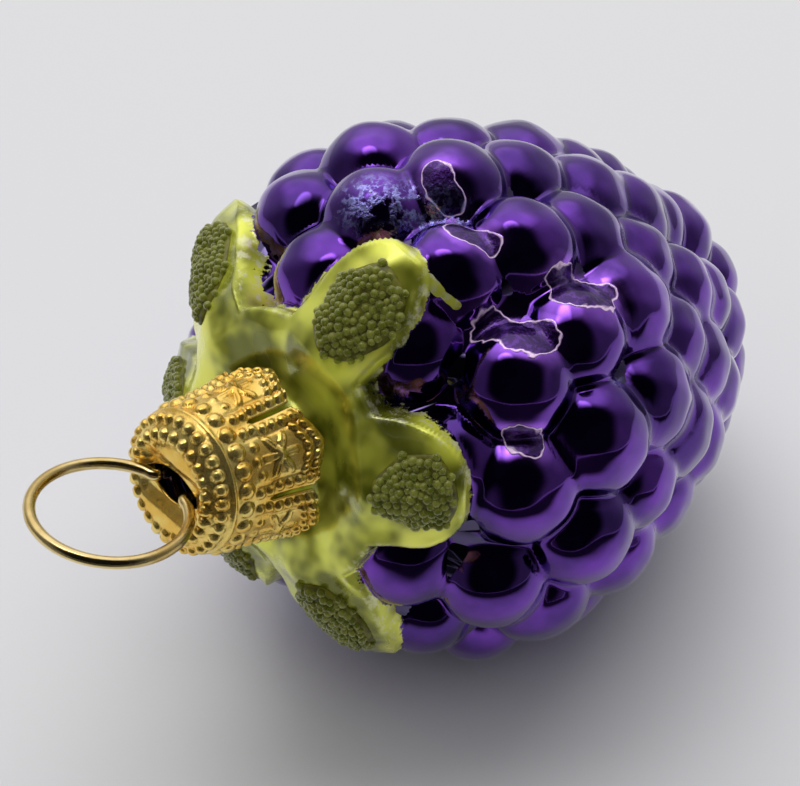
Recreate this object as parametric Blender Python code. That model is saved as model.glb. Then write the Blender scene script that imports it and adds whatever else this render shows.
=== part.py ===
# A blown-glass hanging ornament in the form of a bramble berry, lying on its side.
# The pieces are modelled neck-up about their own axis, then laid down together.
# Metres, +Z up; once laid down, +X runs from the wire ring to the berry's tip.

import bmesh
import bpy
import numpy as np
from mathutils import Matrix, Vector
from mathutils.geometry import delaunay_2d_cdt

MM = 0.001

# The glass mould's ground surface under the drupelets: height and radius, neck to tip.
NECK_RIM_Z = 38.5
NECK_ROOT_Z = 27.6
GLASS_OUTLINE = (
    (NECK_RIM_Z, 5.2),
    (31.5, 5.2),
    (NECK_ROOT_Z, 5.7),
    (25.6, 9.4),
    (22.4, 15.6),
    (16.6, 22.1),
    (8.4, 25.2),
    (-1.2, 24.0),
    (-12.8, 20.4),
    (-23.8, 14.8),
    (-32.4, 7.6),
    (-35.2, 0.0),
)
WALL = 0.8
TIP_WALL = 1.7

# Drupelets in rings round the axis: angle of the ring from the neck seen from the
# berry's middle, how many it has, and the turn of one of them. Stray moves each one a
# little, and swell makes some larger than their neighbours.
DRUPELET_RINGS = (
    (35.0, 8, -49.1),
    (52.0, 12, -71.1),
    (68.5, 15, -114.1),
    (85.5, 17, -107.3),
    (101.5, 16, -75.3),
    (116.5, 15, -86.1),
    (130.5, 12, -69.1),
    (143.5, 9, -79.1),
    (156.0, 7, -59.1),
    (168.5, 4, -29.1),
    (180.0, 1, 0.0),
)
DRUPELET_R = 6.4
DRUPELET_RISE = 2.7
DRUPELET_STRAY = 0.7
DRUPELET_SWELL = 4.5
DRUPELET_SEED = 37

# Sepals moulded in relief round the neck: turn, angle of the tip from the neck seen
# from the berry's middle, and half the leaf's width. They grow together in a disc.
SEPALS = (
    (-33.5, 49.0, 5.3),
    (-97.0, 42.0, 6.9),
    (-171.0, 51.0, 5.8),
    (139.0, 52.0, 5.6),
    (86.0, 53.0, 5.6),
    (40.0, 57.0, 5.6),
)
SEPAL_DISC = 28.0
SEPAL_RISE = 3.4
SEPAL_FLARE = 6.0
SEPAL_EDGE = 0.9
SEPAL_RIB = 0.8
SEPAL_RIDGES = 18
SEPAL_WIDEST = 0.55
SEPAL_TAPER = 2.6

# Pads of glass beads glued on the sepals; the beads are modelled larger than life.
# Each pad has its own turn and its place along the sepal, from neck to tip.
PADS = (
    (-36.0, 0.6),
    (-97.0, 0.68),
    (-171.0, 0.6),
    (139.0, 0.6),
    (86.0, 0.6),
    (40.0, 0.6),
)
PAD_LENGTH_SHARE = 0.5
PAD_WIDTH = 7.0
PAD_GAP = 0.4
PAD_BED = 0.6
BEAD_RISE = 0.6
BEAD_PITCH = 1.3

# Crown cap: stamped sheet with a beaded top edge and six petals, by height and radius.
CAP_SHEET = 0.45
CAP_TOP_Z = 40.9
CAP_OUTLINE = (
    (CAP_TOP_Z, 0.0),
    (CAP_TOP_Z, 2.8),
    (40.8, 4.6),
    (40.0, 6.1),
    (38.3, 6.8),
    (35.6, 7.0),
    (32.2, 7.4),
    (28.8, 8.2),
)
PETALS = 6
PETAL_TURN = -72.0
PETAL_POINT = 1.5
SLIT_WIDTH = 0.5
SLIT_LENGTH = 6.2
BOSS_RISE = 0.45
TOP_BEADS = 24
TOP_BEADS_AT = 5.0
SHOULDER_BEADS_AT = 7.3
BORDER_PITCH = 1.3
SLOT_LENGTH = 7.4
SLOT_WIDTH = 3.0
SLOT_TURN = -112.0
SLOT_LIP = 0.7

# Hanger: one wire, a round loop over the cap and two legs sprung in the neck; one
# leg by height and distance from the axis.
WIRE_R = 0.55
LOOP_R = 6.9
LOOP_MIDDLE = 6.55
LOOP_OPENING = 18.0
LOOP_LEAN = 2.0
LEG = (
    (CAP_TOP_Z - 1.1, 1.95),
    (38.9, 2.1),
    (37.4, 2.9),
    (35.4, 3.35),
    (31.0, 3.35),
    (28.6, 3.3),
    (26.4, 3.9),
    (24.4, 5.0),
)
LOOP_FOOT_Z = CAP_TOP_Z - 0.2

# How it lies: rolled about its own axis, neck end raised, resting on small flats.
LAY_ROLL = 20.454
LAY_TILT = 14.984
FLAT_DEPTH = 0.12

INNER_RELIEF = 0.75
SHELL_STEPS = 44
SHELL_PITCH = 3.9
CAP_STEPS = 96
POINT_SPACING = 0.85
SAME_VALLEY = 2.0


def clear_scene():
    for obj in list(bpy.data.objects):
        bpy.data.objects.remove(obj, do_unlink=True)


def new_collection(name, hidden=False):
    made = bpy.data.collections.new(name)
    made.hide_render = hidden
    bpy.context.scene.collection.children.link(made)
    return made


def new_material(name, colour, roughness, metallic):
    made = bpy.data.materials.new(name)
    made.use_nodes = True
    shader = made.node_tree.nodes["Principled BSDF"]
    shader.inputs["Base Color"].default_value = (*colour, 1.0)
    shader.inputs["Roughness"].default_value = roughness
    shader.inputs["Metallic"].default_value = metallic
    made.diffuse_color = (*colour, 1.0)
    return made


def add_object(name, mesh, collection, material=None):
    obj = bpy.data.objects.new(name, mesh)
    collection.objects.link(obj)
    if material:
        mesh.materials.append(material)
    return obj


def close_mesh(edit, name):
    """Turns the faces outward and hands over the finished mesh, scaled to metres."""
    bmesh.ops.recalc_face_normals(edit, faces=edit.faces)
    bmesh.ops.scale(edit, vec=(MM, MM, MM), verts=edit.verts)
    mesh = bpy.data.meshes.new(name)
    edit.to_mesh(mesh)
    edit.free()
    return mesh


def smooth_step(low, high, value):
    share = np.clip((value - low) / (high - low), 0.0, 1.0)
    return share * share * (3.0 - 2.0 * share)


def smooth_line(points, samples):
    """A smooth line through a few points, by the usual four-point rule."""
    knots = np.array([points[0], *points, points[-1]], dtype=float)
    t = np.linspace(0.0, 1.0, samples, endpoint=False)[:, None]
    pieces = []
    for a, b, c, d in zip(knots, knots[1:], knots[2:], knots[3:]):
        bend = 2 * a - 5 * b + 4 * c - d
        turn = 3 * b - a - 3 * c + d
        pieces.append(0.5 * (2 * b + (c - a) * t + bend * t**2 + turn * t**3))
    return np.vstack([*pieces, knots[-1:]])


class Outline:
    """A turned outline: the places on it are told by length along it and by turn."""

    def __init__(self, points, zero_z=None):
        line = smooth_line(points, 40)
        self.z, self.r = line[:, 0], np.maximum(line[:, 1], 0.0)
        step = np.hypot(np.diff(self.z), np.diff(self.r))
        self.s = np.concatenate([[0.0], np.cumsum(step)])
        if zero_z is not None:
            self.s -= np.interp(-zero_z, -self.z, self.s)
        middle_r = np.maximum((self.r[1:] + self.r[:-1]) / 2.0, 0.02)
        depth = np.concatenate([[0.0], np.cumsum(step / middle_r)])
        self.map_r = np.exp(-depth) - np.exp(-depth[-1])
        self.start, self.end = self.s[0], self.s[-1]

    def radius(self, s):
        return np.interp(s, self.s, self.r)

    def at_angle(self, degrees):
        """Length along the outline at an angle from the neck seen from the middle."""
        angle = np.degrees(np.arctan2(self.r, self.z))
        return float(np.interp(degrees, angle, self.s))

    def place(self, s, turn, lift=0.0):
        reach = 0.5
        low, high = np.clip(s - reach, self.start, None), np.clip(s + reach, None, self.end)
        z, r = np.interp(s, self.s, self.z), self.radius(s)
        fall = np.interp(low, self.s, self.z) - np.interp(high, self.s, self.z)
        spread = self.radius(high) - self.radius(low)
        size = np.hypot(fall, spread)
        out = fall / size * np.minimum(r, 1.0)
        r = r + np.where(r < 1.0, out, fall / size) * lift
        z = z + spread / size * lift
        return np.stack([r * np.cos(turn), r * np.sin(turn), z], axis=-1)

    def to_map(self, s, turn):
        """A flat map of the surface on which small shapes keep their form."""
        r = np.interp(s, self.s, self.map_r)
        return np.stack([r * np.cos(turn), r * np.sin(turn)], axis=-1)

    def from_map(self, flat):
        r = np.hypot(flat[..., 0], flat[..., 1])
        s = np.interp(-r, -self.map_r, self.s)
        return s, np.arctan2(flat[..., 1], flat[..., 0])


class Berry:
    """The moulded glass surface: a turned ground, drupelets and sepals raised on it."""

    def __init__(self):
        self.outline = Outline(GLASS_OUTLINE, NECK_ROOT_Z)
        draw = np.random.default_rng(DRUPELET_SEED)
        places, swell = [], []
        for angle, count, turn in DRUPELET_RINGS:
            for k in range(count):
                stray = DRUPELET_STRAY * draw.uniform(-1.0, 1.0, 2) * (count > 1)
                swell.append(DRUPELET_SWELL * draw.uniform(-1.0, 1.0))
                s = self.outline.at_angle(angle) + stray[0]
                sideways = stray[1] / max(self.outline.radius(s), 1.0)
                places.append((s, np.radians(turn + 360.0 * k / count) + sideways))
        self.sites = np.array(places)
        self.swell = np.array(swell)
        self.centres = self.outline.place(self.sites[:, 0], self.sites[:, 1])
        self.leaf_length = [self.outline.at_angle(tip) for _, tip, _ in SEPALS]
        self.disc_length = self.outline.at_angle(SEPAL_DISC)

    def drupelets(self, s, turn):
        place = self.outline.place(s, turn)
        square = ((place[..., None, :] - self.centres) ** 2).sum(axis=-1)
        nearest = (square - self.swell).min(axis=-1)
        hill = np.sqrt(np.maximum(DRUPELET_R**2 - nearest, 1.0))
        return hill - (DRUPELET_R - DRUPELET_RISE)

    def leaf_width(self, index, s):
        length = self.leaf_length[index]
        widest = SEPAL_WIDEST * length
        beyond = np.clip((s - widest) / (length - widest), 0.0, 1.0)
        return SEPALS[index][2] * np.sqrt(1.0 - beyond**SEPAL_TAPER)

    def across(self, index, s, turn):
        """Sideways distance from a sepal's middle line."""
        off = turn - np.radians(SEPALS[index][0])
        return (np.mod(off + np.pi, 2.0 * np.pi) - np.pi) * self.outline.radius(s)

    def leaves(self, s, turn):
        """How far a place is inside the sepals' edges, and how near a midrib."""
        inside, rib = self.disc_length - s, np.zeros(np.shape(s))
        for index, (_, _, half) in enumerate(SEPALS):
            off = np.abs(self.across(index, s, turn))
            depth = np.minimum(self.leaf_width(index, s) - off, self.leaf_length[index] - s)
            rib = np.where(depth > inside, np.exp(-((off / (0.4 * half)) ** 2)), rib)
            inside = np.maximum(inside, depth)
        return inside, rib

    def lift(self, s, turn):
        rise = smooth_step(0.0, SEPAL_FLARE, s)
        inside, rib = self.leaves(s, turn)
        ridge = 0.25 * np.cos(SEPAL_RIDGES * turn) * smooth_step(9.0, 3.0, s)
        leaf = rise * (SEPAL_RISE + SEPAL_RIB * (rib - 0.5) + ridge)
        fruit = rise * self.drupelets(s, turn)
        share = smooth_step(0.0, SEPAL_EDGE, inside)
        return fruit + (leaf - fruit) * share

    def surface(self, s, turn, above=0.0):
        return self.outline.place(s, turn, self.lift(s, turn) + above)


class Scatter:
    """Points on the glass, kept a little apart from one another."""

    def __init__(self, outline):
        self.outline = outline
        self.kept = []
        self.cells = {}

    def add(self, s, turn, apart=POINT_SPACING):
        here = self.outline.place(s, turn)
        cell = tuple(np.floor(here / POINT_SPACING).astype(int))
        around = [
            other
            for dx in (-1, 0, 1)
            for dy in (-1, 0, 1)
            for dz in (-1, 0, 1)
            for other in self.cells.get((cell[0] + dx, cell[1] + dy, cell[2] + dz), ())
        ]
        if any(np.linalg.norm(here - other) < apart for other in around):
            return
        self.cells.setdefault(cell, []).append(here)
        self.kept.append((float(s), float(turn)))


def ring_points(scatter, s, count):
    for k in range(count):
        scatter.add(s, 2.0 * np.pi * k / count, 0.05)


def leaf_points(scatter, berry):
    """Rows of points along the foot and the top of each sepal's edge, then its inside."""
    outline = berry.outline
    for inset in (0.0, SEPAL_EDGE):
        for index, (turn, _, _) in enumerate(SEPALS):
            length = berry.leaf_length[index]
            for step in np.linspace(0.0, 1.0, 27):
                s = length * (1.0 - step**2) - inset
                if s < SEPAL_FLARE:
                    continue
                width = berry.leaf_width(index, s + inset) - inset
                for side in (-1.0, 1.0):
                    place = np.radians(turn) + side * max(width, 0.0) / outline.radius(s)
                    inside, _ = berry.leaves(s, place)
                    if inside < inset + 0.2:
                        scatter.add(s, place)
    for s in np.arange(1.2, max(berry.leaf_length), 1.5):
        count = int(round(2.0 * np.pi * outline.radius(s) / 1.6))
        for k in range(count):
            turn = 2.0 * np.pi * (k + 0.5 * (round(s / 1.5) % 2)) / count
            inside, _ = berry.leaves(s, turn)
            if inside > SEPAL_EDGE + 0.3:
                scatter.add(s, turn, 0.78)


def valley_crossing(outline, corners, centres, swell):
    """The place on the map where three drupelets are equally high."""
    flat = corners.mean(axis=0)
    for _ in range(12):
        here = outline.place(*outline.from_map(flat))
        square = ((centres - here) ** 2).sum(axis=1) - swell
        pull = (corners - flat) * (square - square.mean())[:, None]
        flat = flat + 0.25 * pull.sum(axis=0) / square.mean()
    return flat


def valley_line(berry, start, end, first, second, count):
    """Points from one valley crossing to the next, held midway between two drupelets."""
    pair = berry.centres[[first, second]]
    sites = berry.outline.to_map(*berry.sites[[first, second]].T)
    line = []
    for share in np.linspace(0.0, 1.0, count + 2)[1:-1]:
        flat = start + (end - start) * share
        for _ in range(4):
            here = berry.outline.place(*berry.outline.from_map(flat))
            near, far = ((pair - here) ** 2).sum(axis=1) - berry.swell[[first, second]]
            step = 0.5 * (far - near) / ((pair[1] - pair[0]) ** 2).sum()
            flat = flat + (sites[1] - sites[0]) * step
        line.append(flat)
    return line


def gap_points(scatter, berry):
    """Fills the bare glass between the sepals."""
    for s in np.arange(SEPAL_FLARE, max(berry.leaf_length), 1.4):
        count = int(round(2.0 * np.pi * berry.outline.radius(s) / 1.5))
        for k in range(count):
            turn = 2.0 * np.pi * k / count
            inside, _ = berry.leaves(s, turn)
            if -3.5 < inside < -0.4:
                scatter.add(s, turn, 1.1)


def drupelet_points(scatter, berry):
    """Each drupelet's crown, its valleys and two rounds of points between them."""
    outline = berry.outline
    flat_sites = outline.to_map(*berry.sites.T)
    _, _, triples, _, _, _ = delaunay_2d_cdt([Vector(p) for p in flat_sites], [], [], 0, 1e-9)
    crossings, sides = [], {}
    for triple in triples:
        for k in range(3):
            pair = tuple(sorted((triple[k], triple[(k + 1) % 3])))
            sides.setdefault(pair, []).append(len(crossings))
        three = list(triple)
        trio = flat_sites[three], berry.centres[three], berry.swell[three]
        crossings.append(valley_crossing(outline, *trio))
    around = {index: [] for index in range(len(flat_sites))}
    rim_points = [(flat, ()) for flat in crossings]
    for (first, second), ends in sides.items():
        if len(ends) == 2:
            start, end = crossings[ends[0]], crossings[ends[1]]
            for flat in valley_line(berry, start, end, first, second, 2):
                rim_points.append((flat, (first, second)))
    for flat, _ in rim_points:
        s, turn = outline.from_map(flat)
        square = ((berry.centres - outline.place(s, turn)) ** 2).sum(axis=1) - berry.swell
        beside = square < square.min() + SAME_VALLEY
        for index in np.flatnonzero(beside):
            around[int(index)].append(flat)
        inside, _ = berry.leaves(s, turn)
        if inside < -0.3:
            scatter.add(s, turn)
    for share, skip in ((0.7, 1), (0.38, 2)):
        for index, rim in around.items():
            middle = flat_sites[index]
            rim = sorted(rim, key=lambda p: np.arctan2(*(p - middle)[::-1]))
            for flat in rim[::skip]:
                s, turn = outline.from_map(middle + (flat - middle) * share)
                inside, _ = berry.leaves(s, turn)
                if inside < -0.5:
                    scatter.add(s, turn)
    for s, turn in berry.sites:
        inside, _ = berry.leaves(s, turn)
        if inside < -0.5:
            scatter.add(s, turn)


def bridge(edit, rings):
    """Faces between rings of corners; a ring of one corner closes the skin."""
    for upper, lower in zip(rings, rings[1:]):
        count = max(len(upper), len(lower))
        for k in range(count):
            corners = []
            for corner in (
                upper[k % len(upper)],
                upper[(k + 1) % len(upper)],
                lower[(k + 1) % len(lower)],
                lower[k % len(lower)],
            ):
                if corner not in corners:
                    corners.append(corner)
            edit.faces.new(corners)


def add_ring(edit, places):
    return [edit.verts.new(place) for place in places]


def inner_glass(berry, s, turn):
    """The hollow's surface: softer relief, and a wall that thickens towards the tip."""
    end = berry.outline.end
    wall = WALL + (TIP_WALL - WALL) * smooth_step(0.45 * end, 0.95 * end, s)
    return berry.outline.place(s, turn, INNER_RELIEF * berry.lift(s, turn) - wall)


def glass_berry(berry, parts, material):
    outline = berry.outline
    scatter = Scatter(outline)
    for s in (outline.start, outline.start / 2.0, 0.0):
        ring_points(scatter, s, SHELL_STEPS)
    leaf_points(scatter, berry)
    drupelet_points(scatter, berry)
    gap_points(scatter, berry)
    kept = np.array(scatter.kept)
    flat = outline.to_map(kept[:, 0], kept[:, 1])
    _, _, faces, _, _, _ = delaunay_2d_cdt([Vector(p) for p in flat], [], [], 0, 1e-9)
    edit = bmesh.new()
    outer = add_ring(edit, berry.surface(kept[:, 0], kept[:, 1]))
    for face in faces:
        edit.faces.new([outer[k] for k in face])
    turns = 2.0 * np.pi * np.arange(SHELL_STEPS) / SHELL_STEPS
    rings = [outer[:SHELL_STEPS]]
    for s in (outline.start, 0.0, *np.arange(3.0, outline.end - 2.0, SHELL_PITCH)):
        rings.append(add_ring(edit, inner_glass(berry, np.full(SHELL_STEPS, s), turns)))
    rings.append(add_ring(edit, inner_glass(berry, np.array([outline.end]), np.zeros(1))))
    bridge(edit, rings)
    bmesh.ops.triangulate(edit, faces=edit.faces)
    return add_object("glass_berry", close_mesh(edit, "glass_berry"), parts, material)


def bead_pad(index, berry, parts, material):
    """A pad of glued glass beads: rows of crowns on a bed that follows the sepal."""
    turn = np.radians(PADS[index][0])
    middle = PADS[index][1] * berry.leaf_length[index]
    radius = berry.outline.radius(middle)
    half = np.array([PAD_LENGTH_SHARE * berry.leaf_length[index], PAD_WIDTH]) / 2.0
    step = BEAD_PITCH / np.sqrt(3.0)
    top, low = [], []
    reach = int(np.ceil(half.max() / step)) + 2
    for a in range(-2 * reach, 2 * reach):
        for b in range(-reach, reach + 1):
            flat = np.array([(a + b / 2.0) * step, b * step * np.sqrt(0.75)])
            share = np.hypot(*(flat / half))
            crown = (a - b) % 3 == 0
            if share < 0.93:
                top.append((*flat, BEAD_RISE if crown else 0.0))
            if crown and share < 0.8:
                low.append(tuple(flat))
    rim = []
    for k in range(28):
        angle = 2.0 * np.pi * k / 28
        rim.append(tuple(half * (np.cos(angle), np.sin(angle))))

    def place(flat, above):
        flat = np.array(flat)
        s, sideways = middle + flat[:, 0], turn + flat[:, 1] / radius
        return berry.surface(s, sideways, np.asarray(above) + PAD_GAP)

    edit = bmesh.new()
    upper_rim = add_ring(edit, place(rim, 0.4 * PAD_BED))
    lower_rim = add_ring(edit, place(rim, 0.0))
    crowns = np.array(top)
    upper = add_ring(edit, place(crowns[:, :2], PAD_BED + crowns[:, 2]))
    lower = add_ring(edit, place(low, 0.0))
    bridge(edit, [upper_rim, lower_rim])
    for inner, ring, flats in ((upper, upper_rim, crowns[:, :2]), (lower, lower_rim, low)):
        corners = [*ring, *inner]
        points = [Vector(flat) for flat in (*rim, *flats)]
        for face in delaunay_2d_cdt(points, [], [], 0, 1e-9)[2]:
            edit.faces.new([corners[k] for k in face])
    name = f"sepal_beads_{index + 1}"
    return add_object(name, close_mesh(edit, name), parts, material)


def petal_share(turn):
    """Place across a petal, from -1 at one slit to 1 at the next."""
    pitch = 2.0 * np.pi / PETALS
    return (np.mod(turn - np.radians(PETAL_TURN) + pitch / 2.0, pitch) / pitch) * 2.0 - 1.0


def emboss(outline, s, turn):
    """Bead rows round the top and the shoulder, beaded petal borders and a star."""
    radius = outline.radius(s)
    beads = np.abs(np.cos(TOP_BEADS / 2.0 * turn))
    rows = sum(np.exp(-(((s - at) / 0.5) ** 2)) for at in (TOP_BEADS_AT, SHOULDER_BEADS_AT))
    half = np.pi / PETALS * radius
    off = petal_share(turn) * half
    below = smooth_step(SHOULDER_BEADS_AT + 0.6, SHOULDER_BEADS_AT + 1.6, s)
    border = np.exp(-(((half - 1.0 - np.abs(off)) / 0.45) ** 2))
    border = border * np.abs(np.cos(np.pi * s / BORDER_PITCH)) * below
    along = s - (SHOULDER_BEADS_AT + 4.0)
    far = np.hypot(along, off)
    star = (0.5 + 0.5 * np.cos(5.0 * np.arctan2(off, along))) * smooth_step(2.1, 0.6, far)
    return BOSS_RISE * np.maximum(np.maximum(beads * rows, border), 0.9 * star)


def slot_dip(place):
    """The top is pushed in along both lips of the slot."""
    turn = np.radians(SLOT_TURN)
    along = place[..., 0] * np.cos(turn) + place[..., 1] * np.sin(turn)
    across = place[..., 1] * np.cos(turn) - place[..., 0] * np.sin(turn)
    dip = smooth_step(3.0, 1.4, np.abs(across)) * smooth_step(4.4, 3.0, np.abs(along))
    lowered = place.copy()
    lowered[..., 2] -= SLOT_LIP * dip * (place[..., 2] > CAP_OUTLINE[2][0] - 1.5)
    return lowered


def crown_cap(parts, material):
    outline = Outline(CAP_OUTLINE)
    turns = 2.0 * np.pi * (np.arange(CAP_STEPS) + 0.5) / CAP_STEPS
    end = outline.end - PETAL_POINT * np.abs(petal_share(turns))
    slit_top = outline.end - SLIT_LENGTH
    edit = bmesh.new()

    def ring(s, above, bossed):
        full = np.full(CAP_STEPS, s)
        if s > slit_top:
            full = slit_top + (s - slit_top) / SLIT_LENGTH * (end - slit_top)
        lift = above + (emboss(outline, full, turns) if bossed else 0.0)
        return add_ring(edit, slot_dip(outline.place(full, turns, lift)))

    outer = [1.6, 3.0, 4.2, 5.0, 5.8, 6.5, 7.3, 8.1]
    outer += list(np.linspace(8.9, outline.end, 9))
    inner = [1.6, 4.2, 5.8, slit_top, outline.end]
    top = np.array([0.0])
    rings = [add_ring(edit, slot_dip(outline.place(top, top)))]
    rings += [ring(s, 0.0, True) for s in outer]
    rings += [ring(s, -CAP_SHEET, False) for s in reversed(inner)]
    rings += [add_ring(edit, slot_dip(outline.place(top, top, -CAP_SHEET)))]
    bridge(edit, rings)
    cap = add_object("crown_cap", close_mesh(edit, "crown_cap"), parts, material)
    cut(cap, cap_cutters())
    return cap


def cap_cutters():
    """Six slits between the petals and the lens-shaped slot in the top."""
    cutters = new_collection("cap_cutters", hidden=True)
    pitch = 2.0 * np.pi / PETALS
    outline = Outline(CAP_OUTLINE)
    slit_top_z = float(np.interp(outline.end - SLIT_LENGTH, outline.s, outline.z))
    for k in range(PETALS):
        edit = bmesh.new()
        bmesh.ops.create_cube(edit, size=1.0)
        bmesh.ops.scale(edit, vec=(6.0, SLIT_WIDTH, 12.0), verts=edit.verts)
        bmesh.ops.translate(edit, vec=(8.0, 0.0, slit_top_z - 6.0), verts=edit.verts)
        turn = Matrix.Rotation(np.radians(PETAL_TURN) + (k + 0.5) * pitch, 3, "Z")
        bmesh.ops.rotate(edit, cent=(0.0, 0.0, 0.0), matrix=turn, verts=edit.verts)
        add_object(f"slit_cutter_{k + 1}", close_mesh(edit, "slit"), cutters)
    half_length, half_width = SLOT_LENGTH / 2.0, SLOT_WIDTH / 2.0
    bow = (half_length**2 + half_width**2) / (2.0 * half_width)
    spread = np.arcsin(half_length / bow)
    edit = bmesh.new()
    turn = Matrix.Rotation(np.radians(SLOT_TURN), 3, "Z")
    corners = []
    for side in (1.0, -1.0):
        for angle in np.linspace(-spread, spread, 10)[:-1]:
            x = side * bow * np.sin(angle)
            y = side * (bow * np.cos(angle) - bow + half_width)
            corners.append(turn @ Vector((x, y, CAP_TOP_Z - 2.5)))
    face = edit.faces.new([edit.verts.new(corner) for corner in corners])
    raised = bmesh.ops.extrude_face_region(edit, geom=[face])["geom"]
    top = [item for item in raised if isinstance(item, bmesh.types.BMVert)]
    bmesh.ops.translate(edit, vec=(0.0, 0.0, 5.0), verts=top)
    add_object("slot_cutter", close_mesh(edit, "slot"), cutters)
    for cutter in cutters.objects:
        cutter.display_type = "WIRE"
    return cutters


def cut(obj, cutters):
    boolean = obj.modifiers.new("cut", "BOOLEAN")
    boolean.operation = "DIFFERENCE"
    boolean.solver = "EXACT"
    boolean.operand_type = "COLLECTION"
    boolean.collection = cutters
    bpy.context.view_layer.update()
    graph = bpy.context.evaluated_depsgraph_get()
    mesh = bpy.data.meshes.new_from_object(obj.evaluated_get(graph))
    obj.modifiers.clear()
    obj.data = mesh


def hanger_wire(parts, material):
    """One bent wire: up one leg, round the loop that leans a little, down the other."""
    leg = smooth_line(LEG, 2)
    leg = np.stack([leg[:, 1], np.zeros(len(leg)), leg[:, 0]], axis=-1)
    angles = np.radians(np.linspace(LOOP_OPENING, 360.0 - LOOP_OPENING, 31))
    x, up = LOOP_R * np.sin(angles), LOOP_MIDDLE - LOOP_R * np.cos(angles)
    lean = np.radians(LOOP_LEAN)
    loop = np.stack([x, -up * np.sin(lean), LOOP_FOOT_Z + up * np.cos(lean)], axis=-1)
    other = leg * (-1.0, 1.0, 1.0)
    path = np.vstack([leg[::-1], loop, other])
    curve = bpy.data.curves.new("hanger_wire", "CURVE")
    curve.dimensions = "3D"
    curve.bevel_depth = WIRE_R * MM
    curve.bevel_resolution = 2
    curve.use_fill_caps = True
    spline = curve.splines.new("POLY")
    spline.points.add(len(path) - 1)
    turn = Matrix.Rotation(np.radians(SLOT_TURN), 3, "Z")
    for point, place in zip(spline.points, path):
        point.co = (*(turn @ Vector(place) * MM), 1.0)
    drawn = add_object("hanger_wire_path", curve, parts)
    bpy.context.view_layer.update()
    graph = bpy.context.evaluated_depsgraph_get()
    mesh = bpy.data.meshes.new_from_object(drawn.evaluated_get(graph))
    bpy.data.objects.remove(drawn)
    bpy.data.curves.remove(curve)
    edit = bmesh.new()
    edit.from_mesh(mesh)
    bmesh.ops.remove_doubles(edit, verts=edit.verts, dist=0.001 * MM)
    edit.to_mesh(mesh)
    edit.free()
    return add_object("hanger_wire", mesh, parts, material)


def lay_down(objects, glass):
    """Rolls and tilts every piece together, then grinds the small flats it rests on."""
    roll = Matrix.Rotation(np.radians(LAY_ROLL), 4, "Z")
    tilt = Matrix.Rotation(np.radians(LAY_TILT - 90.0), 4, "Y")
    for obj in objects:
        obj.data.transform(tilt @ roll)
    corners = np.array([vertex.co for obj in objects for vertex in obj.data.vertices])
    middle = (corners.min(axis=0) + corners.max(axis=0)) / 2.0
    ground = corners[:, 2].min() + FLAT_DEPTH * MM
    for obj in objects:
        obj.data.transform(Matrix.Translation((-middle[0], -middle[1], -ground)))
    edit = bmesh.new()
    edit.from_mesh(glass.data)
    geometry = [*edit.verts, *edit.edges, *edit.faces]
    bmesh.ops.bisect_plane(
        edit, geom=geometry, plane_co=(0, 0, 0), plane_no=(0, 0, -1), clear_outer=True
    )
    open_edges = [edge for edge in edit.edges if edge.is_boundary]
    bmesh.ops.holes_fill(edit, edges=open_edges, sides=0)
    bmesh.ops.recalc_face_normals(edit, faces=edit.faces)
    edit.to_mesh(glass.data)
    edit.free()


def main():
    clear_scene()
    parts = new_collection("bramble_berry_ornament")
    berry = Berry()
    purple = new_material("purple_lacquered_glass", (0.16, 0.04, 0.42), 0.12, 1.0)
    gold = new_material("gold_stamped_sheet", (0.83, 0.58, 0.22), 0.25, 1.0)
    brass = new_material("pale_brass_wire", (0.78, 0.66, 0.34), 0.2, 1.0)
    green = new_material("green_glass_beads", (0.3, 0.4, 0.1), 0.2, 0.0)
    glass = glass_berry(berry, parts, purple)
    crown_cap(parts, gold)
    hanger_wire(parts, brass)
    for index in range(len(SEPALS)):
        bead_pad(index, berry, parts, green)
    lay_down(list(parts.objects), glass)


main()
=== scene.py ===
import math
import bmesh
import bpy
import numpy as np
from mathutils import Matrix, Vector


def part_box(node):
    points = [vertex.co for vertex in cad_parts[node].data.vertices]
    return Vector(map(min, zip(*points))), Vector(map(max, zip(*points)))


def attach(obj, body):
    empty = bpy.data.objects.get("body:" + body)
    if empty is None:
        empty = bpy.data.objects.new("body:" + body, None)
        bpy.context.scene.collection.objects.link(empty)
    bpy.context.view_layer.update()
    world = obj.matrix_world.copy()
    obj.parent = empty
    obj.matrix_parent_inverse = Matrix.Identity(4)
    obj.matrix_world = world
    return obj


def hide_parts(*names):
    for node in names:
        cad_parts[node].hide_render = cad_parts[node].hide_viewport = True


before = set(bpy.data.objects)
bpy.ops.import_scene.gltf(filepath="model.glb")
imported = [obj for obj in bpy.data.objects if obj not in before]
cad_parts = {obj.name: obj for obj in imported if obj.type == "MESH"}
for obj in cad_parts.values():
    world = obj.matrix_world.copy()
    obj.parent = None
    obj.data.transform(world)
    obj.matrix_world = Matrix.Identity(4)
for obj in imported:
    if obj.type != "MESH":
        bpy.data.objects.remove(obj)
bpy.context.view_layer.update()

# Glass berry.
# The berry is one shell of glass, blown into a mould that gives it its drupelets, the
# sepals round the neck and the open neck itself. It is silvered inside and brushed
# outside with clear purple lacquer, then yellow-green lacquer over the sepals.
MM = 0.001
NECK_RIM_Z = 38.5
NECK_ROOT_Z = 27.6
# The turned outline, from the neck's rim to the tip: height on the axis, and radius.
GLASS_OUTLINE = (
    (NECK_RIM_Z, 5.2),
    (31.5, 5.2),
    (NECK_ROOT_Z, 5.7),
    (25.6, 9.4),
    (22.4, 15.6),
    (16.6, 22.1),
    (8.4, 25.2),
    (-1.2, 24.0),
    (-12.8, 20.4),
    (-23.8, 14.8),
    (-32.4, 7.6),
    (-35.2, 0.0),
)
WALL = 0.8
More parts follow.
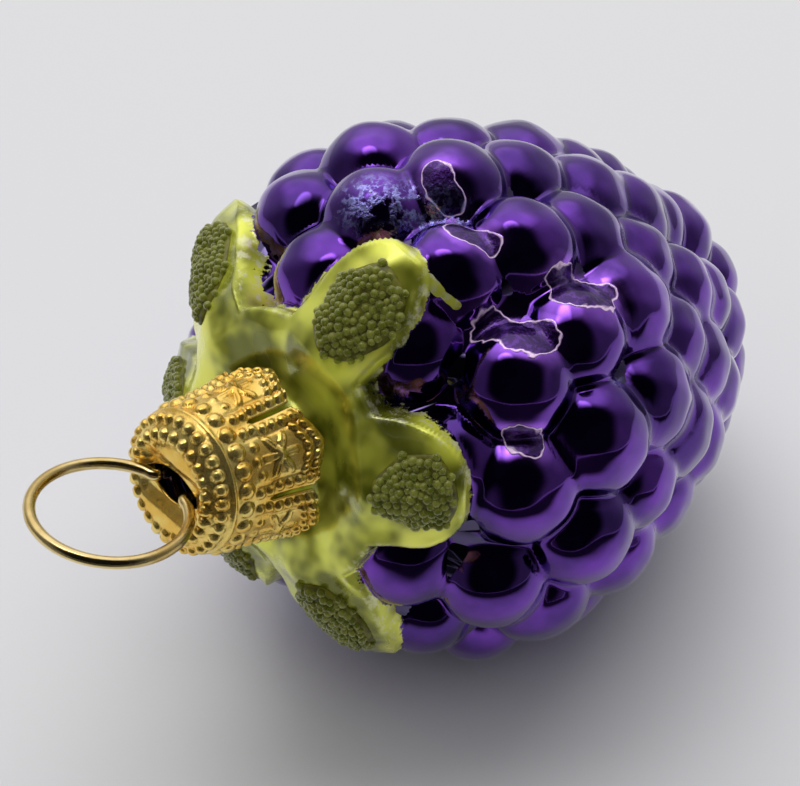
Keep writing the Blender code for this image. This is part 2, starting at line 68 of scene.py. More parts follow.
# Rings of drupelets: angle from the neck, how many, and the turn of the first.
DRUPELET_RINGS = (
    (35.0, 8, -49.1),
    (52.0, 12, -71.1),
    (68.5, 15, -114.1),
    (85.5, 17, -107.3),
    (101.5, 16, -75.3),
    (116.5, 15, -86.1),
    (130.5, 12, -69.1),
    (143.5, 9, -79.1),
    (156.0, 7, -59.1),
    (168.5, 4, -29.1),
    (180.0, 1, 0.0),
)
DRUPELET_R = 6.4
DRUPELET_RISE = 2.7
DRUPELET_STRAY = 0.7
DRUPELET_SWELL = 4.5
DRUPELET_SEED = 37
VALLEY_SOFTNESS = 0.34
# The blown glass is a little uneven: two soft waves over the drupelets.
WAVE = 0.1
FINE_WAVE = 0.05
# Sepals: turn, angle of the tip from the neck, and half the leaf's width.
SEPALS = (
    (-33.5, 49.0, 5.3),
    (-97.0, 42.0, 6.9),
    (-171.0, 51.0, 5.8),
    (139.0, 52.0, 5.6),
    (86.0, 53.0, 5.6),
    (40.0, 57.0, 5.6),
)
SEPAL_DISC = 28.0
SEPAL_RISE = 3.4
SEPAL_FLARE = 6.0
SEPAL_EDGE = 0.9
SEPAL_RIB = 0.8
SEPAL_WIDEST = 0.55
SEPAL_TAPER = 2.6
SEPAL_RIDGE = 0.06
SEPAL_RIDGES = 18
SEPAL_RIPPLE = 0.16
# Soft lumps and hollows of the sepals: angle from the neck, turn, reach, height.
SEPAL_LUMPS = (
    (36.0, -79.0, 3.0, 0.9),
    (37.0, -67.0, 2.4, -1.1),
    (27.0, -58.0, 2.6, 0.7),
    (28.0, -84.0, 2.6, -0.8),
    (30.0, -112.0, 2.4, -0.6),
    (24.0, -100.0, 2.2, 0.6),
    (33.0, -128.0, 2.8, -0.9),
    (27.0, -140.0, 2.4, 0.7),
    (31.0, -12.0, 2.6, -0.8),
    (26.0, -25.0, 2.2, 0.6),
    (44.0, -20.0, 2.2, 0.5),
    (40.0, -158.0, 2.4, 0.5),
    (30.0, 18.0, 2.6, 0.6),
    (33.0, 64.0, 2.6, -0.8),
    (33.0, 112.0, 2.6, -0.8),
    (30.0, 160.0, 2.6, -0.7),
)
# How the berry lies: its middle, its turn about its own axis and the rise of the axis.
BODY_PLACE = (8.289, 0.084, 25.686)
LAY_ROLL = 20.454
LAY_TILT = 14.984
# The glass is laid out in rings of points, closer together over the sepals.
GLASS_COLUMNS = 400
GLASS_ROW = 0.5
NECK_ROWS = 18
SEPAL_ROW = 0.3
SEPAL_ZONE = (3.0, 27.0)
LAST_ROW_FROM_TIP = 0.2
INNER_ROWS = 24
INNER_RELIEF = 0.75
INNER_ROW_FROM_TIP = 2.0
TIP_WALL = 1.8
OFF_SEPALS = -9.0
# The outline: curve points between two of its own, and the reach that tells its slope.
OUTLINE_STEPS = 40
SLOPE_REACH = 0.5


def smooth_step(low, high, value):
    share = np.clip((value - low) / (high - low), 0.0, 1.0)
    return share * share * (3.0 - 2.0 * share)


def smooth_line(points, steps):
    """A smooth curve through the points, with so many steps from one to the next."""
    knots = np.vstack([points[:1], points, points[-1:]])
    t = np.linspace(0.0, 1.0, steps, endpoint=False)[:, None]
    pieces = []
    for a, b, c, d in zip(knots, knots[1:], knots[2:], knots[3:]):
        bend = 2 * a - 5 * b + 4 * c - d
        turn = 3 * b - a - 3 * c + d
        pieces.append(0.5 * (2 * b + (c - a) * t + bend * t**2 + turn * t**3))
    return np.vstack([*pieces, knots[-1:]])


class Outline:
    """A turned outline: places on it are told by length along it and by turn."""

    def __init__(self, points, zero_z=None):
        line = smooth_line(np.array(points, dtype=float), OUTLINE_STEPS)
        self.z, self.r = line[:, 0], np.maximum(line[:, 1], 0.0)
        step = np.hypot(np.diff(self.z), np.diff(self.r))
        self.s = np.concatenate([[0.0], np.cumsum(step)])
        if zero_z is not None:
            self.s -= np.interp(-zero_z, -self.z, self.s)
        self.start, self.end = self.s[0], self.s[-1]

    def radius(self, s):
        return np.interp(s, self.s, self.r)

    def at_angle(self, degrees):
        angle = np.degrees(np.arctan2(self.r, self.z))
        return float(np.interp(degrees, angle, self.s))

    def place(self, s, turn, lift=0.0):
        low = np.clip(s - SLOPE_REACH, self.start, None)
        high = np.clip(s + SLOPE_REACH, None, self.end)
        z, r = np.interp(s, self.s, self.z), self.radius(s)
        fall = np.interp(low, self.s, self.z) - np.interp(high, self.s, self.z)
        spread = self.radius(high) - self.radius(low)
        size = np.hypot(fall, spread)
        # a lift right on the axis moves a place along the axis only
        r = r + fall / size * np.minimum(r, 1.0) * lift
        z = z + spread / size * lift
        return np.stack([r * np.cos(turn), r * np.sin(turn), z], axis=-1)


berry_outline = Outline(GLASS_OUTLINE, NECK_ROOT_Z)
leaf_ends = [berry_outline.at_angle(tip) for _, tip, _ in SEPALS]


def drupelet_places():
    """Middle of each drupelet, and how much it is swollen."""
    draw = np.random.default_rng(DRUPELET_SEED)
    places, swell = [], []
    for angle, count, turn in DRUPELET_RINGS:
        for k in range(count):
            stray = DRUPELET_STRAY * draw.uniform(-1.0, 1.0, 2) * (count > 1)
            swell.append(DRUPELET_SWELL * draw.uniform(-1.0, 1.0))
            s = berry_outline.at_angle(angle) + stray[0]
            sideways = stray[1] / max(berry_outline.radius(s), 1.0)
            places.append((s, math.radians(turn + 360.0 * k / count) + sideways))
    sites = np.array(places)
    return berry_outline.place(sites[:, 0], sites[:, 1]), np.array(swell)


drupelet_centres, drupelet_swell = drupelet_places()


def across(turn_at, s, turn):
    off = turn - math.radians(turn_at)
    return (np.mod(off + np.pi, 2.0 * np.pi) - np.pi) * berry_outline.radius(s)


def sepal_relief(s, turn):
    """How far inside the sepals' edge a place is, and the height of their relief."""
    inside = berry_outline.at_angle(SEPAL_DISC) - s
    relief = np.full(np.shape(s), SEPAL_RISE - 0.5 * SEPAL_RIB)
    for (middle, _, half), length in zip(SEPALS, leaf_ends):
        off = np.abs(across(middle, s, turn))
        beyond = np.clip((s - SEPAL_WIDEST * length) / ((1.0 - SEPAL_WIDEST) * length), 0.0, 1.0)
        width = half * np.sqrt(1.0 - beyond**SEPAL_TAPER)
        inside = np.maximum(inside, np.minimum(width - off, length - s))
        rib = np.exp(-((off / (0.4 * half)) ** 2)) * smooth_step(0.0, 3.0, length - s)
        relief = relief + SEPAL_RIB * rib
    here = berry_outline.place(s, turn)
    for angle, middle, reach, height in SEPAL_LUMPS:
        at = berry_outline.place(np.array(berry_outline.at_angle(angle)), np.radians(middle))
        far = ((here - at) ** 2).sum(axis=-1)
        relief = relief + height * np.exp(-far / reach**2)
    relief = relief + SEPAL_RIDGE * np.cos(SEPAL_RIDGES * turn) * smooth_step(9.0, 3.0, s)
    ripple = np.sin(11.0 * turn + 0.55 * s) * np.sin(0.9 * s - 5.0 * turn)
    relief = relief + SEPAL_RIPPLE * ripple * smooth_step(3.0, 8.0, s)
    return inside, relief


def drupelet_relief(s, turn):
    """Height of the drupelets, and how far down in a valley a place is."""
    here = berry_outline.place(s, turn)
    square = ((here[:, None, :] - drupelet_centres) ** 2).sum(axis=-1)
    hill = np.sqrt(np.maximum(DRUPELET_R**2 - square + drupelet_swell, 1.0))
    top = hill.max(axis=1)
    near = np.exp((hill - top[:, None]) / VALLEY_SOFTNESS).sum(axis=1)
    soft = top + VALLEY_SOFTNESS * np.log(near)
    hill.sort(axis=1)
    x, y, z = here.T
    wave = WAVE * np.sin(1.1 * x + 0.6 * y) * np.sin(0.9 * z - 0.7 * x + 1.0)
    wave = wave + FINE_WAVE * np.sin(1.5 * y - 0.8 * z + 2.0) * np.sin(1.3 * z + 0.9 * x)
    return soft + wave - (DRUPELET_R - DRUPELET_RISE), hill[:, -1] - hill[:, -2]


def glass_skin(s, turn):
    """Lift of the outer glass, with the two measures that the green lacquer and the painted valley shade
    and sheen follow.
    """
    inside, leaf = sepal_relief(s, turn)
    fruit, crest = drupelet_relief(s, turn)
    share = smooth_step(0.0, SEPAL_EDGE, inside)
    rise = smooth_step(0.0, SEPAL_FLARE, s)
    return rise * (fruit + (leaf - fruit) * share), inside, crest


lay_over = Matrix.Rotation(math.radians(LAY_TILT - 90.0), 3, "Y")
lay_turn = np.array(lay_over @ Matrix.Rotation(math.radians(LAY_ROLL), 3, "Z"))


def laid(place):
    """From millimetres about the berry's own axis to metres in the part's frame."""
    return (np.asarray(place) @ lay_turn.T + BODY_PLACE) * MM


def skin_mesh(name, places, faces):
    mesh = bpy.data.meshes.new(name)
    mesh.from_pydata([tuple(p) for p in places], [], faces)
    mesh.validate()
    mesh.update()
    mesh.polygons.foreach_set("use_smooth", [True] * len(mesh.polygons))
    return mesh


def place_object(name, mesh, materials=()):
    obj = bpy.data.objects.new(name, mesh)
    bpy.context.scene.collection.objects.link(obj)
    for material in materials:
        mesh.materials.append(material)
    return obj


def grid_faces(rows, columns, first=0):
    """Quads between rings of places that close on themselves."""
    faces = []
    for row in range(rows - 1):
        upper, lower = first + row * columns, first + (row + 1) * columns
        for k in range(columns):
            after = (k + 1) % columns
            faces.append((upper + k, lower + k, lower + after, upper + after))
    return faces


def make_glass():
    """The outer glass ring by ring, then the inner glass, joined round the neck's rim."""
    neck = np.linspace(berry_outline.start, SEPAL_ZONE[0], NECK_ROWS, endpoint=False)
    sepals = np.arange(*SEPAL_ZONE, SEPAL_ROW)
    tip_rows = int((berry_outline.end - SEPAL_ZONE[1]) / GLASS_ROW)
    body = np.linspace(SEPAL_ZONE[1], berry_outline.end - LAST_ROW_FROM_TIP, tip_rows)
    along = np.concatenate([neck, sepals, body])
    rows = len(along)
    turns = 2.0 * np.pi * np.arange(GLASS_COLUMNS) / GLASS_COLUMNS
    s, turn = (grid.ravel() for grid in np.meshgrid(along, turns, indexing="ij"))
    lift, inside, crest = glass_skin(s, turn)
    outer = berry_outline.place(s, turn, lift)
    tip_lift, _, tip_crest = glass_skin(np.array([berry_outline.end]), np.array([0.0]))
    tip = berry_outline.place(np.array([berry_outline.end]), np.array([0.0]), tip_lift)
    deep = np.linspace(berry_outline.start, berry_outline.end - INNER_ROW_FROM_TIP, INNER_ROWS)
    s_in, turn_in = (grid.ravel() for grid in np.meshgrid(deep, turns, indexing="ij"))
    lift_in, _, _ = glass_skin(s_in, turn_in)
    inner = berry_outline.place(s_in, turn_in, INNER_RELIEF * lift_in - WALL)
    bottom = berry_outline.place(np.array([berry_outline.end]), np.array([0.0]), 0.0)
    bottom[0, 2] = tip[0, 2] + TIP_WALL
    places = laid(np.vstack([outer, tip, inner, bottom]))
    low, high = (np.array(corner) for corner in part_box("glass_berry"))
    places = np.clip(places, low, high)
    faces = grid_faces(rows, GLASS_COLUMNS)
    last, tip_at = (rows - 1) * GLASS_COLUMNS, rows * GLASS_COLUMNS
    first_in = tip_at + 1
    last_in = first_in + (len(deep) - 1) * GLASS_COLUMNS
    for k in range(GLASS_COLUMNS):
        after = (k + 1) % GLASS_COLUMNS
        faces.append((last + k, tip_at, last + after))
        faces.append((after, first_in + after, first_in + k, k))
        faces.append((last_in + after, len(places) - 1, last_in + k))
    for quad in grid_faces(len(deep), GLASS_COLUMNS, first_in):
        faces.append(quad[::-1])
    mesh = skin_mesh("blown_glass_berry", places, faces)
    fill = np.zeros(len(inner) + 1)
    mesh.attributes.new("leaf_inside", "FLOAT", "POINT").data.foreach_set(
        "value", np.concatenate([inside, [OFF_SEPALS], fill + OFF_SEPALS])
    )
    mesh.attributes.new("crest", "FLOAT", "POINT").data.foreach_set(
        "value", np.concatenate([crest, tip_crest, fill])
    )
    return mesh


class NodeSheet:
    """Short hand for building one material's nodes."""

    def __init__(self, tree):
        self.tree = tree

    def add(self, kind, inputs=None, **settings):
        node = self.tree.nodes.new(kind)
        for key, value in settings.items():
            setattr(node, key, value)
        for key, value in (inputs or {}).items():
            self.feed(node.inputs[key], value)
        return node

    def feed(self, socket, value):
        if isinstance(value, bpy.types.NodeSocket):
            self.tree.links.new(value, socket)
        else:
            socket.default_value = value

    def math(self, operation, first, second=0.0, clamp=False):
        node = self.add("ShaderNodeMath", {0: first, 1: second}, operation=operation)
        node.use_clamp = clamp
        return node.outputs[0]

    def vector(self, operation, first, second):
        return self.add("ShaderNodeVectorMath", {0: first, 1: second}, operation=operation)

    def largest(self, values):
        """The largest of several values at each place."""
        most = values[0]
        for value in values[1:]:
            most = self.math("MAXIMUM", most, value)
        return most

    def ramp(self, value, low, high, start=0.0, end=1.0):
        node = self.add("ShaderNodeMapRange", interpolation_type="SMOOTHSTEP")
        for key, number in zip((0, 1, 2, 3, 4), (value, low, high, start, end)):
            self.feed(node.inputs[key], number)
        return node.outputs[0]

    def mix(self, share, first, second):
        node = self.add("ShaderNodeMix", data_type="RGBA")
        for key, value in ((0, share), (6, first), (7, second)):
            self.feed(node.inputs[key], value)
        return node.outputs[2]

    def mix_number(self, share, first, second):
        node = self.add("ShaderNodeMix", data_type="FLOAT")
        for key, value in ((0, share), (2, first), (3, second)):
            self.feed(node.inputs[key], value)
        return node.outputs[0]

    def noise(self, place, scale, detail=3.0, rough=0.55):
        node = self.add("ShaderNodeTexNoise", {"Scale": scale, "Detail": detail, "Roughness": rough})
        self.feed(node.inputs["Vector"], place)
        return node.outputs["Fac"]

    def bump(self, shader, height, strength, distance):
        node = self.add("ShaderNodeBump", {"Strength": strength, "Distance": distance, "Height": height})
        self.feed(shader.inputs["Normal"], node.outputs["Normal"])

    def attribute(self, name):
        return self.add("ShaderNodeAttribute", attribute_name=name).outputs["Fac"]

    def near(self, place, spot, reach):
        """One at a spot given in metres, falling to nothing at its reach."""
        gap = self.vector("DISTANCE", place, spot).outputs["Value"]
        return self.ramp(gap, reach, 0.25 * reach)


def new_finish(name):
    material = bpy.data.materials.new(name)
    material.use_nodes = True
    sheet = NodeSheet(material.node_tree)
    shader = material.node_tree.nodes["Principled BSDF"]
    return material, sheet, shader


def colour(red, green, blue):
    return (red, green, blue, 1.0)


# Painted highlights on the purple lacquer, each a bright outline of a lamp's reflection round a dark
# mottled middle. They are placed by angle from the neck and by turn, with their reach in millimetres, and
# run from one spot to another.
PAINTED_HIGHLIGHT_STROKES = (
    ((68.5, -57.0), (73.0, -60.5), 2.1),
    ((52.5, -58.5), (57.5, -64.0), 2.0),
    ((56.5, -35.5), (59.0, -40.5), 1.3),
    ((50.5, -84.0), (52.0, -86.5), 1.4),
    ((61.5, -21.5), (60.5, -26.5), 1.5),
    ((64.0, 120.0), (70.0, 126.0), 2.0),
    ((95.0, 178.0), (90.0, 172.0), 1.8),
)
# Places where a painted bluish sheen lies in veins over the purple.
PAINTED_SHEEN_PATCHES = (
    (50.5, -14.0, 4.2),
    (53.0, -20.5, 4.2),
    (58.0, -27.0, 4.0),
    (73.0, -77.0, 1.6),
    (70.0, 150.0, 5.5),
)
# Places given a painted yellow-green highlight where the sepals' lobes face the light, and the run of
# green lacquer beside the near sepal.
SEPAL_HIGHLIGHT_PATCHES = (
    (36.5, -77.0, 3.6),
    (38.5, -82.0, 3.0),
    (24.5, -42.5, 3.2),
    (17.5, -46.5, 2.8),
    (45.5, -29.0, 2.6),
    (39.0, -150.0, 3.4),
    (34.0, 20.0, 3.4),
    (13.0, -100.0, 2.2),
    (36.0, 88.0, 3.0),
)
GREEN_RUN = (
    ((46.5, -41.5), (47.0, -45.0), 0.7),
    ((47.0, -45.0), (48.0, -49.5), 0.5),
)


def spot_on_glass(angle, turn):
    """A place on the lacquered glass in metres, by angle from the neck and by turn."""
    s, around = np.array([berry_outline.at_angle(angle)]), np.array([math.radians(turn)])
    lift, _, _ = glass_skin(s, around)
    return tuple(laid(berry_outline.place(s, around, lift))[0])


def from_stroke(sheet, place, start, end):
    """Distance from a brush stroke between two spots on the glass, in metres."""
    first = Vector(spot_on_glass(*start))
    along = Vector(spot_on_glass(*end)) - first
    per_length = tuple(along / along.length_squared)
    toward = sheet.vector("SUBTRACT", place, tuple(first)).outputs["Vector"]
    share = sheet.vector("DOT_PRODUCT", toward, per_length).outputs["Value"]
    nearest = sheet.add("ShaderNodeVectorMath", {0: tuple(along)}, operation="SCALE")
    sheet.feed(nearest.inputs["Scale"], sheet.math("ADD", share, 0.0, clamp=True))
    return sheet.vector("DISTANCE", toward, nearest.outputs["Vector"]).outputs["Value"]


def painted_highlights(sheet, place, shape, uneven):
    """A painted highlight: a bright uneven rim, a painted glow round it and a painted dark mottled
    middle.
    """
    level = None
    for start, end, reach in PAINTED_HIGHLIGHT_STROKES:
        mark = sheet.math("DIVIDE", from_stroke(sheet, place, start, end), reach * MM)
        level = mark if level is None else sheet.math("MINIMUM", level, mark)
    level = sheet.math("ADD", level, shape)
    inner_edge = sheet.math("SUBTRACT", 0.94, uneven)
    rim = sheet.math("MULTIPLY", sheet.ramp(level, inner_edge, 0.99), sheet.ramp(level, 1.10, 1.02))
    return rim, sheet.ramp(level, 1.9, 1.0), sheet.ramp(level, 1.0, 0.9)


def patches(sheet, place, table):
    """Soft round patches, each given by angle, turn and reach."""
    return sheet.largest([
        sheet.near(place, spot_on_glass(angle, turn), reach * MM) for angle, turn, reach in table
    ])


def lacquered_glass():
    material, sheet, shader = new_finish("lacquered_silvered_glass")
    place = sheet.add("ShaderNodeTexCoord").outputs["Object"]
    inside = sheet.attribute("leaf_inside")
    crest = sheet.attribute("crest")
    # purple lacquer: deeper where it pooled, with painted shade darkening the valleys and a painted grey
    # sheen along the seams between drupelets
    clouds = sheet.noise(place, 150.0, 3.0)
    purple = sheet.mix(
        sheet.ramp(clouds, 0.35, 0.7), colour(0.065, 0.014, 0.21), colour(0.17, 0.036, 0.46)
    )
    valley_shade = sheet.ramp(crest, 0.5, 0.0)
    purple = sheet.mix(sheet.math("MULTIPLY", valley_shade, 0.7), purple, colour(0.03, 0.025, 0.06))
    seam_sheen = sheet.ramp(crest, 0.08, 0.02)
    purple = sheet.mix(sheet.math("MULTIPLY", seam_sheen, 0.25), purple, colour(0.14, 0.14, 0.18))
    # painted highlights with a bright rim, and patches of painted bluish sheen
    drift = sheet.noise(place, 400.0, 2.0)
    shape = sheet.math("MULTIPLY", sheet.math("SUBTRACT", drift, 0.5), 1.5)
    uneven = sheet.ramp(sheet.noise(place, 700.0, 1.0), 0.4, 0.65, 0.0, 0.12)
    rim, highlight_glow, middle = painted_highlights(sheet, place, shape, uneven)
    speckle = sheet.noise(place, 1500.0, 4.0, 0.7)
    mottle = sheet.mix(
        sheet.ramp(speckle, 0.45, 0.62), colour(0.012, 0.004, 0.035), colour(0.09, 0.03, 0.22)
    )
    # painted glow round each highlight, its painted dark mottled middle, then its painted bright rim
    purple = sheet.mix(sheet.math("MULTIPLY", highlight_glow, 0.7), purple, colour(0.46, 0.15, 1.0))
    purple = sheet.mix(sheet.math("MULTIPLY", middle, 0.85), purple, mottle)
    purple = sheet.mix(rim, purple, colour(1.0, 0.74, 1.0))
    # painted bluish sheen, broken into veins
    painted_sheen = patches(sheet, place, PAINTED_SHEEN_PATCHES)
    fine = sheet.noise(place, 420.0, 3.0, 0.6)
    veins = sheet.ramp(sheet.math("ABSOLUTE", sheet.math("SUBTRACT", fine, 0.5)), 0.12, 0.02)
    painted_sheen = sheet.math("MULTIPLY", painted_sheen, sheet.math("MULTIPLY", veins, sheet.ramp(speckle, 0.42, 0.55)))
    purple = sheet.mix(painted_sheen, purple, colour(0.42, 0.42, 0.95))
    # green lacquer, brushed over the sepals with a ragged edge, and one stray drip
    bristle = sheet.noise(place, 900.0, 4.0, 0.7)
    waver = sheet.math("MULTIPLY", sheet.math("SUBTRACT", bristle, 0.5), 1.6)
    painted = sheet.ramp(sheet.math("ADD", inside, waver), 0.05, 0.2)
    for start, end, reach in GREEN_RUN:
        drip = sheet.math("DIVIDE", from_stroke(sheet, place, start, end), reach * MM)
        drip = sheet.ramp(sheet.math("ADD", drip, shape), 1.0, 0.9)
        painted = sheet.math("MAXIMUM", painted, drip)
    puddle = sheet.noise(place, 210.0, 2.0)
    olive = sheet.mix(
        sheet.ramp(puddle, 0.36, 0.66), colour(0.19, 0.21, 0.012), colour(0.84, 0.89, 0.10)
    )
    lime = sheet.noise(place, 120.0, 1.0)
    olive = sheet.mix(sheet.ramp(lime, 0.55, 0.70), olive, colour(0.98, 1.0, 0.14))
    # painted highlights on the sepals' lobes, also made less metallic below so that the lamps light them
    sepal_highlight = patches(sheet, place, SEPAL_HIGHLIGHT_PATCHES)
    olive = sheet.mix(sheet.math("MULTIPLY", sepal_highlight, 0.85), olive, colour(0.95, 1.0, 0.10))
    edge = sheet.ramp(inside, 1.7, 0.1)
    dry = sheet.math("MULTIPLY", edge, sheet.ramp(bristle, 0.5, 0.62))
    green = sheet.mix(sheet.math("MULTIPLY", dry, 0.8), olive, colour(0.86, 0.86, 0.55))
    # mirror-like under the purple but less metallic at the painted highlight rims, satin under the green
    # and less metallic at its painted highlights, rougher under the painted highlight marks and painted
    # sheen
    satin = sheet.mix_number(sepal_highlight, 0.62, 0.3)
    metal = sheet.mix_number(painted, sheet.mix_number(rim, 1.0, 0.3), satin)
    sheet.feed(shader.inputs["Metallic"], metal)
    sheet.feed(shader.inputs["Base Color"], sheet.mix(painted, purple, green))
    painted_light_marks = sheet.math("MAXIMUM", sheet.math("MAXIMUM", rim, middle), painted_sheen)
    rough = sheet.mix_number(painted, sheet.mix_number(painted_light_marks, 0.09, 0.32), 0.27)
    sheet.feed(shader.inputs["Roughness"], rough)
    shader.inputs["Coat Weight"].default_value = 0.6
    shader.inputs["Coat Roughness"].default_value = 0.05
    shader.inputs["Coat IOR"].default_value = 1.5
    ripples = sheet.noise(place, 260.0, 2.0)
    grit = sheet.math("MULTIPLY", painted_light_marks, sheet.noise(place, 3000.0, 2.0))
    height = sheet.math("ADD", sheet.math("MULTIPLY", ripples, 0.5), grit)
    sheet.bump(shader, height, 0.25, 0.0003)
    return material


glass = place_object("blown_glass_berry", make_glass(), [lacquered_glass()])
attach(glass, "root")
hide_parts("glass_berry")

# Sepal beads.
# Each sepal has a pad of clear green glass beads, hardly larger than coarse sand,
# pressed into a bed of green glue. A pad is given by its turn and by its place along
# the sepal, from neck to tip.
PADS = (
    (-36.0, 0.6),
    (-97.0, 0.68),
    (-171.0, 0.6),
    (139.0, 0.6),
    (86.0, 0.6),
    (40.0, 0.6),
)
PAD_LENGTH_SHARE = 0.5
PAD_WIDTH = 7.0
PAD_SEED = 40
BEAD_R = 0.46
BEAD_SPACING = 0.61
BEAD_SIZES = (0.78, 1.12)
BEAD_SEED = 7
# Far more trial points than beads, so that the beads lie as close as their spacing lets.
TRIAL_POINTS = 6.0e7
BED_RINGS = 10
BED_STEPS = 48
BED_UNDER = -0.05
BED_EDGE = 0.15
BED_DOME = 0.35
BED_UNEVEN = 0.035


def bead_glass():
    material, sheet, shader = new_finish("green_glass_beads_clear")
    place = sheet.add("ShaderNodeTexCoord").outputs["Object"]
    shade = sheet.noise(place, 900.0, 1.0)
    tint = sheet.mix(sheet.ramp(shade, 0.35, 0.65), colour(0.27, 0.31, 0.03), colour(0.50, 0.54, 0.09))
    # painted rim sheen: the beads' edges seen at a glancing angle are painted paler green
    rim = sheet.add("ShaderNodeLayerWeight", {"Blend": 0.4}).outputs["Facing"]
    tint = sheet.mix(sheet.ramp(rim, 0.25, 0.75), tint, colour(0.86, 0.88, 0.36))
    sheet.feed(shader.inputs["Base Color"], tint)
    shader.inputs["Roughness"].default_value = 0.08
    shader.inputs["IOR"].default_value = 1.5
    shader.inputs["Transmission Weight"].default_value = 0.6
    return material


def green_glue():
    material, sheet, shader = new_finish("green_glue_bed")
    place = sheet.add("ShaderNodeTexCoord").outputs["Object"]
    shade = sheet.noise(place, 700.0, 3.0)
    tint = sheet.mix(sheet.ramp(shade, 0.35, 0.65), colour(0.06, 0.058, 0.003), colour(0.17, 0.17, 0.012))
    sheet.feed(shader.inputs["Base Color"], tint)
    shader.inputs["Roughness"].default_value = 0.4
    return material


def bead_tree(beads_material):
    """Scatters beads over a bed of glue, each a little larger or smaller."""
    tree = bpy.data.node_groups.new("beads_on_glue", "GeometryNodeTree")
    face = tree.interface
    face.new_socket("Glue bed", in_out="INPUT", socket_type="NodeSocketGeometry")
    face.new_socket("Bead radius", in_out="INPUT", socket_type="NodeSocketFloat")
    face.new_socket("Spacing", in_out="INPUT", socket_type="NodeSocketFloat")
    face.new_socket("Seed", in_out="INPUT", socket_type="NodeSocketInt")
    face.new_socket("Beads", in_out="OUTPUT", socket_type="NodeSocketGeometry")
    sheet = NodeSheet(tree)
    given = sheet.add("NodeGroupInput").outputs
    top = sheet.add("GeometryNodeInputNamedAttribute", data_type="FLOAT")
    top.inputs["Name"].default_value = "bead_cover"
    spots = sheet.add("GeometryNodeDistributePointsOnFaces", distribute_method="POISSON")
    sheet.feed(spots.inputs["Mesh"], given["Glue bed"])
    sheet.feed(spots.inputs["Distance Min"], given["Spacing"])
    spots.inputs["Density Max"].default_value = TRIAL_POINTS
    sheet.feed(spots.inputs["Density Factor"], top.outputs["Attribute"])
    sheet.feed(spots.inputs["Seed"], given["Seed"])
    bead = sheet.add("GeometryNodeMeshUVSphere", {"Segments": 8, "Rings": 6})
    sheet.feed(bead.inputs["Radius"], given["Bead radius"])
    round_bead = sheet.add("GeometryNodeSetShadeSmooth")
    sheet.feed(round_bead.inputs["Geometry"], bead.outputs["Mesh"])
    size = sheet.add("FunctionNodeRandomValue", data_type="FLOAT")
    size.inputs[2].default_value, size.inputs[3].default_value = BEAD_SIZES
    sheet.feed(size.inputs["Seed"], given["Seed"])
    lay = sheet.add("GeometryNodeInstanceOnPoints")
    sheet.feed(lay.inputs["Points"], spots.outputs["Points"])
    sheet.feed(lay.inputs["Instance"], round_bead.outputs["Geometry"])
    sheet.feed(lay.inputs["Rotation"], spots.outputs["Rotation"])
    sheet.feed(lay.inputs["Scale"], size.outputs[1])
    real = sheet.add("GeometryNodeRealizeInstances")
    sheet.feed(real.inputs["Geometry"], lay.outputs["Instances"])
    finish = sheet.add("GeometryNodeSetMaterial")
    finish.inputs["Material"].default_value = beads_material
    sheet.feed(finish.inputs["Geometry"], real.outputs["Geometry"])
    ends = sheet.add("NodeGroupOutput")
    sheet.feed(ends.inputs["Beads"], finish.outputs["Geometry"])
    return tree


def set_input(modifier, name, value):
    for item in modifier.node_group.interface.items_tree:
        if item.item_type == "SOCKET" and item.in_out == "INPUT" and item.name == name:
            modifier[item.identifier] = value


def pad_place(index, flat, above):
    """From a flat ellipse to the sepal it is glued on."""
    turn = math.radians(PADS[index][0])
    middle = PADS[index][1] * leaf_ends[index]
    s = middle + flat[:, 0]
    around = turn + flat[:, 1] / berry_outline.radius(middle)
    lift, _, _ = glass_skin(s, around)
    return laid(berry_outline.place(s, around, lift + above))


def glue_bed(index):
    """A thin bed of glue with an uneven edge, domed a little in the middle."""
    draw = np.random.default_rng(PAD_SEED + index)
    half = np.array([PAD_LENGTH_SHARE * leaf_ends[index], PAD_WIDTH]) / 2.0
    angle = 2.0 * np.pi * np.arange(BED_STEPS) / BED_STEPS
    uneven = 1.0
    for k in range(2, 8):
        uneven = uneven + draw.uniform(-BED_UNEVEN, BED_UNEVEN) * np.cos(k * angle + draw.uniform(0, 6.3))
    edge = np.stack([np.cos(angle), np.sin(angle)], axis=-1) * half * uneven[:, None]
    rings = [pad_place(index, 0.97 * edge, BED_UNDER)]
    cover = [0.0] * BED_STEPS
    for share in np.linspace(1.0, 0.0, BED_RINGS, endpoint=False):
        dome = BED_EDGE + BED_DOME * math.sqrt(1.0 - share**2)
        rings.append(pad_place(index, 0.95 * share * edge, dome))
        cover += [1.0 if share < 0.99 else 0.4] * BED_STEPS
    top = pad_place(index, np.zeros((1, 2)), BED_EDGE + BED_DOME)
    under = pad_place(index, np.zeros((1, 2)), BED_UNDER)
    places = np.vstack([*rings, top, under])
    faces = grid_faces(len(rings), BED_STEPS)
    last = (len(rings) - 1) * BED_STEPS
    for k in range(BED_STEPS):
        after = (k + 1) % BED_STEPS
        faces.append((last + k, len(places) - 2, last + after))
        faces.append((after, len(places) - 1, k))
    mesh = skin_mesh("glue_bed", places, faces)
    mesh.attributes.new("bead_cover", "FLOAT", "POINT").data.foreach_set("value", cover + [1.0, 0.0])
    return mesh


def kept_mesh(obj):
    """The object's mesh as its modifiers leave it; the modifiers are taken off."""
    bpy.context.view_layer.update()
    graph = bpy.context.evaluated_depsgraph_get()
    mesh = bpy.data.meshes.new_from_object(obj.evaluated_get(graph))
    obj.modifiers.clear()
    return mesh


